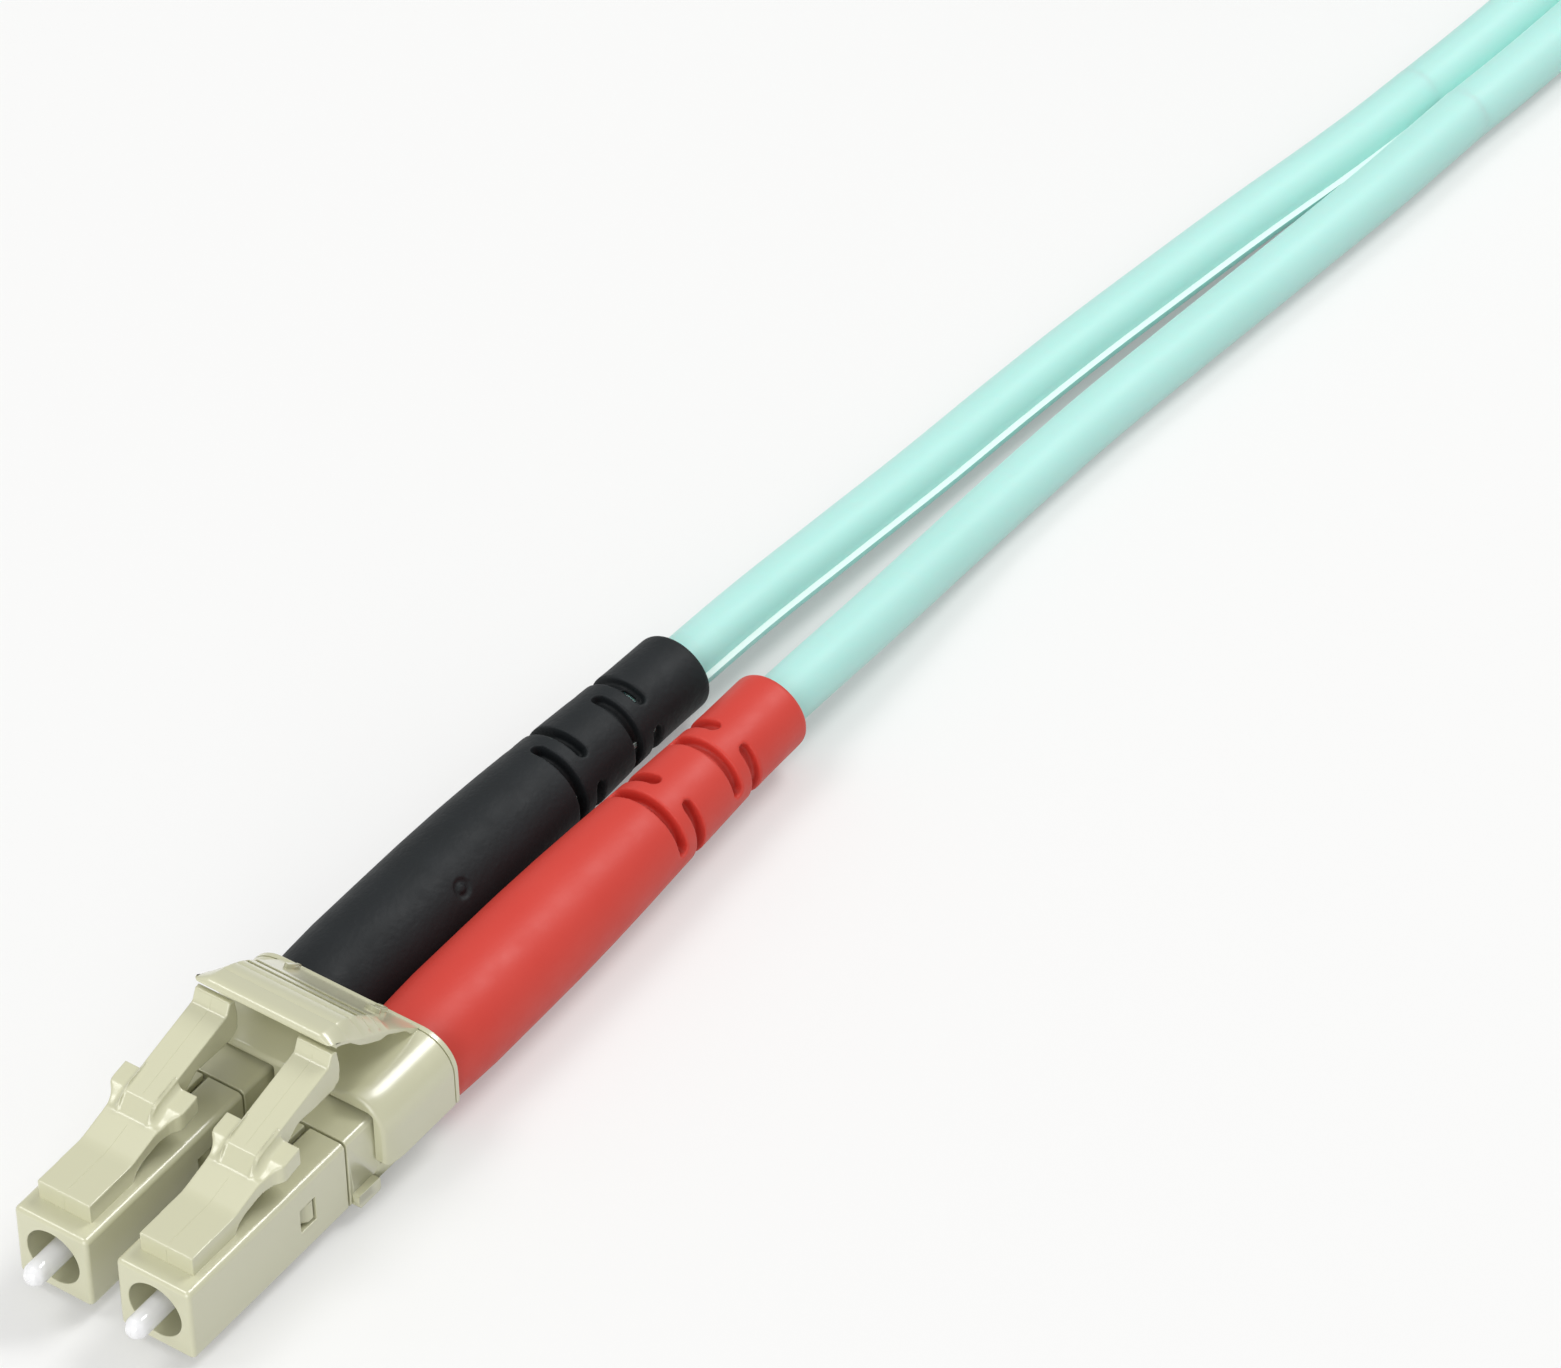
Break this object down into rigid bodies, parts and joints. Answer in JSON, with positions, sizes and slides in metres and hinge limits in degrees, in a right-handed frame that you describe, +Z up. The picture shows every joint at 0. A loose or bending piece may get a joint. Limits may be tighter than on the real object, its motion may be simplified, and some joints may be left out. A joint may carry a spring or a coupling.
{
  "type": "fiber optic patch cord",
  "caption": "Duplex fibre patch cord: paired square plugs with bending latches, a shared trigger clip, slotted boots and a coiled two-core cord to a matching far end.",
  "frame": {"origin": "on the surface that the cord lies on, under the middle of the near connector, which runs from its ferrule tips to its boot ends", "axes": "+X from the near connector's ferrules towards its cord, +Z up, +Y towards the plug with the black boot"},
  "size_m": [0.2069, 0.0712, 0.0233],
  "materials": {
    "ferrule_ceramic": "polished white zirconia",
    "nickel_brass": "nickel-plated, satin",
    "tube_plastic": "smooth",
    "spring_steel": "bright wire",
    "beige_plastic": "satin moulded",
    "sleeve_steel": "satin",
    "black_boot": "soft moulded, fine grain",
    "red_boot": "soft moulded, fine grain",
    "aqua_jacket": "smooth flexible jacket",
    "tie_fabric": "hook-and-loop strap"
  },
  "bodies": {
    "cord_and_housings": {"near_black_spring": "spring_steel", "near_black_front_housing": "beige_plastic", "near_black_rear_body": "beige_plastic", "near_black_crimp_sleeve": "sleeve_steel", "near_black_boot": "black_boot", "near_red_spring": "spring_steel", "near_red_front_housing": "beige_plastic", "near_red_rear_body": "beige_plastic", "near_red_crimp_sleeve": "sleeve_steel", "near_red_boot": "red_boot", "near_duplex_clip": "beige_plastic", "far_black_spring": "spring_steel", "far_black_front_housing": "beige_plastic", "far_black_rear_body": "beige_plastic", "far_black_crimp_sleeve": "sleeve_steel", "far_black_boot": "black_boot", "far_red_spring": "spring_steel", "far_red_front_housing": "beige_plastic", "far_red_rear_body": "beige_plastic", "far_red_crimp_sleeve": "sleeve_steel", "far_red_boot": "red_boot", "far_duplex_clip": "beige_plastic", "near_black_leg": "aqua_jacket", "near_red_leg": "aqua_jacket", "near_zip_cord": "aqua_jacket", "coiled_cord": "aqua_jacket", "far_zip_cord": "aqua_jacket", "far_black_leg": "aqua_jacket", "far_red_leg": "aqua_jacket", "coil_tie": "tie_fabric"},
    "near_black_ferrule_group": {"near_black_ferrule": "ferrule_ceramic", "near_black_ferrule_holder": "nickel_brass", "near_black_guide_tube": "tube_plastic"},
    "near_black_latch": {"near_black_latch_arm": "beige_plastic"},
    "near_red_ferrule_group": {"near_red_ferrule": "ferrule_ceramic", "near_red_ferrule_holder": "nickel_brass", "near_red_guide_tube": "tube_plastic"},
    "near_red_latch": {"near_red_latch_arm": "beige_plastic"},
    "near_trigger": {"near_trigger": "beige_plastic"},
    "far_black_ferrule_group": {"far_black_ferrule": "ferrule_ceramic", "far_black_ferrule_holder": "nickel_brass", "far_black_guide_tube": "tube_plastic"},
    "far_black_latch": {"far_black_latch_arm": "beige_plastic"},
    "far_red_ferrule_group": {"far_red_ferrule": "ferrule_ceramic", "far_red_ferrule_holder": "nickel_brass", "far_red_guide_tube": "tube_plastic"},
    "far_red_latch": {"far_red_latch_arm": "beige_plastic"},
    "far_trigger": {"far_trigger": "beige_plastic"}
  },
  "joints": [
    {"name": "near_black_ferrule_slide", "type": "slide", "parent": "cord_and_housings", "child": "near_black_ferrule_group", "axis": [1, 0, 0], "range_m": [0, 0.0008], "stiffness_N_per_m": 1500, "deforming": ["near_black_spring"]},
    {"name": "near_black_latch_bend", "type": "hinge", "parent": "cord_and_housings", "child": "near_black_latch", "pos_m": [-0.0199, 0.00313, 0.00595], "axis": [0, 1, 0], "range_deg": [0, 9], "stiffness_Nm_per_rad": 0.001},
    {"name": "near_red_ferrule_slide", "type": "slide", "parent": "cord_and_housings", "child": "near_red_ferrule_group", "axis": [1, 0, 0], "range_m": [0, 0.0008], "stiffness_N_per_m": 1500, "deforming": ["near_red_spring"]},
    {"name": "near_red_latch_bend", "type": "hinge", "parent": "cord_and_housings", "child": "near_red_latch", "pos_m": [-0.0199, -0.00313, 0.00595], "axis": [0, 1, 0], "range_deg": [0, 9], "stiffness_Nm_per_rad": 0.001},
    {"name": "near_trigger_bend", "type": "hinge", "parent": "cord_and_housings", "child": "near_trigger", "pos_m": [-0.0052, 0, 0.0068], "axis": [0, -1, 0], "range_deg": [0, 12], "stiffness_Nm_per_rad": 0.005},
    {"name": "far_black_ferrule_slide", "type": "slide", "parent": "cord_and_housings", "child": "far_black_ferrule_group", "axis": [1, 0, 0], "range_m": [0, 0.0008], "stiffness_N_per_m": 1500, "deforming": ["far_black_spring"]},
    {"name": "far_black_latch_bend", "type": "hinge", "parent": "cord_and_housings", "child": "far_black_latch", "pos_m": [0.1137, 0.05588, 0.01845], "axis": [0, 1, 0], "range_deg": [0, 9], "stiffness_Nm_per_rad": 0.001},
    {"name": "far_red_ferrule_slide", "type": "slide", "parent": "cord_and_housings", "child": "far_red_ferrule_group", "axis": [1, 0, 0], "range_m": [0, 0.0008], "stiffness_N_per_m": 1500, "deforming": ["far_red_spring"]},
    {"name": "far_red_latch_bend", "type": "hinge", "parent": "cord_and_housings", "child": "far_red_latch", "pos_m": [0.1137, 0.04963, 0.01845], "axis": [0, 1, 0], "range_deg": [0, 9], "stiffness_Nm_per_rad": 0.001},
    {"name": "far_trigger_bend", "type": "hinge", "parent": "cord_and_housings", "child": "far_trigger", "pos_m": [0.1284, 0.05275, 0.0193], "axis": [0, -1, 0], "range_deg": [0, 12], "stiffness_Nm_per_rad": 0.005}
  ],
  "couplings": [
    {"joint": "near_black_latch_bend", "follows": "near_trigger_bend", "ratio": 0.72},
    {"joint": "near_red_latch_bend", "follows": "near_trigger_bend", "ratio": 0.72},
    {"joint": "far_black_latch_bend", "follows": "far_trigger_bend", "ratio": 0.72},
    {"joint": "far_red_latch_bend", "follows": "far_trigger_bend", "ratio": 0.72}
  ]
}
